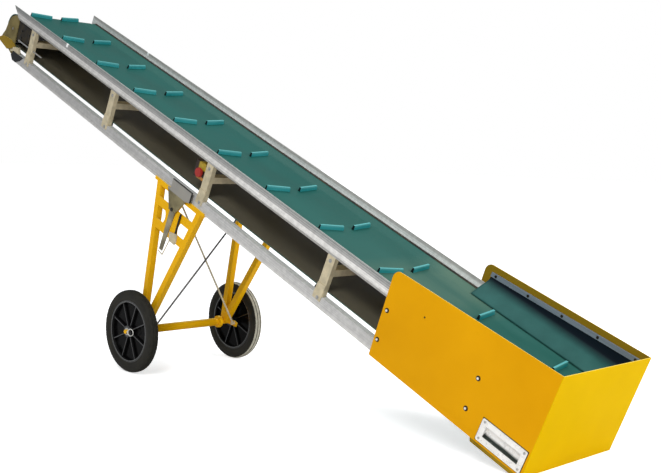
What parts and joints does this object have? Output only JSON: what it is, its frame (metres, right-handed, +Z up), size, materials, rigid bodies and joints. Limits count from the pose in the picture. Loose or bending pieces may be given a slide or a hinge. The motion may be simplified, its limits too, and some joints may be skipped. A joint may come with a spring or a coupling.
{
  "type": "mobile belt conveyor",
  "caption": "Inclined cleated belt conveyor on a wheeled V-leg undercarriage, with a sheet-metal feed hopper at the low end and ribbed side rails.",
  "frame": {"origin": "floor point under the middle of the overall bounding box", "axes": "+X down the slope towards the feed hopper, +Z up, -Y on the operator's side with the clamp lever"},
  "size_m": [3.9094, 0.716, 1.8651],
  "materials": {
    "yellow_paint": "gloss powder coat",
    "olive_plate": "yellow-olive coat, dulled",
    "aluminium": "extruded, mill finish",
    "galvanised": "zinc plated, slightly warm",
    "zinc": "bright zinc plate",
    "steel": "turned",
    "dark_steel": "black, matt",
    "belt_rubber": "smooth polymer belt, semi-matt",
    "black_plastic": "moulded, matt",
    "yellow_plastic": "moulded, matt",
    "red_plastic": "moulded, glossy",
    "tyre": "matt rubber"
  },
  "bodies": {
    "conveyor": {"belt": "belt_rubber", "belt_bed": "galvanised", "head_drum": "steel", "tail_drum": "steel", "side_rail_near_head": "aluminium", "side_rail_near_tail": "aluminium", "side_rail_far_head": "aluminium", "side_rail_far_tail": "aluminium", "chord_near": "aluminium", "chord_far": "aluminium", "chord_cap_near": "black_plastic", "chord_cap_far": "black_plastic", "posts_near": "galvanised", "posts_far": "galvanised", "cross_beams": "galvanised", "return_rollers_near": "black_plastic", "return_rollers_far": "black_plastic", "head_bearing_near": "dark_steel", "head_bearing_far": "dark_steel", "head_cover_near": "olive_plate", "head_cover_far": "olive_plate", "wiper_lip": "yellow_paint", "takeup_screw_near": "zinc", "takeup_screw_far": "zinc", "tail_bearing_near": "dark_steel", "tail_bearing_far": "dark_steel", "hopper_side_near": "yellow_paint", "hopper_side_far": "yellow_paint", "hopper_brackets_near": "galvanised", "hopper_brackets_far": "galvanised", "hopper_handle_near": "zinc", "hopper_handle_far": "zinc", "hopper_end": "yellow_paint", "hopper_skids": "yellow_paint", "hopper_skirt_near": "belt_rubber", "hopper_skirt_far": "belt_rubber", "skirt_strip_near": "aluminium", "skirt_strip_far": "aluminium", "stop_box": "yellow_plastic", "stop_button": "red_plastic"},
    "undercarriage": {"saddle_near": "yellow_paint", "saddle_far": "yellow_paint", "leg_near_head": "yellow_paint", "leg_near_tail": "yellow_paint", "leg_far_head": "yellow_paint", "leg_far_tail": "yellow_paint", "axle": "yellow_paint", "ladder_plate": "yellow_paint", "brace_rod_a": "zinc", "brace_rod_b": "zinc", "clamp_plate": "zinc", "hand_lever": "zinc", "clamp_strut": "dark_steel", "strut_lug": "zinc", "axle_washer_near": "zinc", "axle_washer_far": "zinc"},
    "wheel_near_body": {"wheel_near": "black_plastic", "tyre_near": "tyre"},
    "wheel_far_body": {"wheel_far": "black_plastic", "tyre_far": "tyre"}
  },
  "joints": [
    {"name": "undercarriage_slide", "type": "slide", "parent": "conveyor", "child": "undercarriage", "axis": [-0.9166, 0, 0.3997], "range_m": [0, 0.54]},
    {"name": "wheel_near_spin", "type": "hinge", "parent": "undercarriage", "child": "wheel_near_body", "pos_m": [-0.46251, -0.321, 0.2], "axis": [0, 1, 0], "continuous": true},
    {"name": "wheel_far_spin", "type": "hinge", "parent": "undercarriage", "child": "wheel_far_body", "pos_m": [-0.46251, 0.321, 0.2], "axis": [0, 1, 0], "continuous": true}
  ]
}
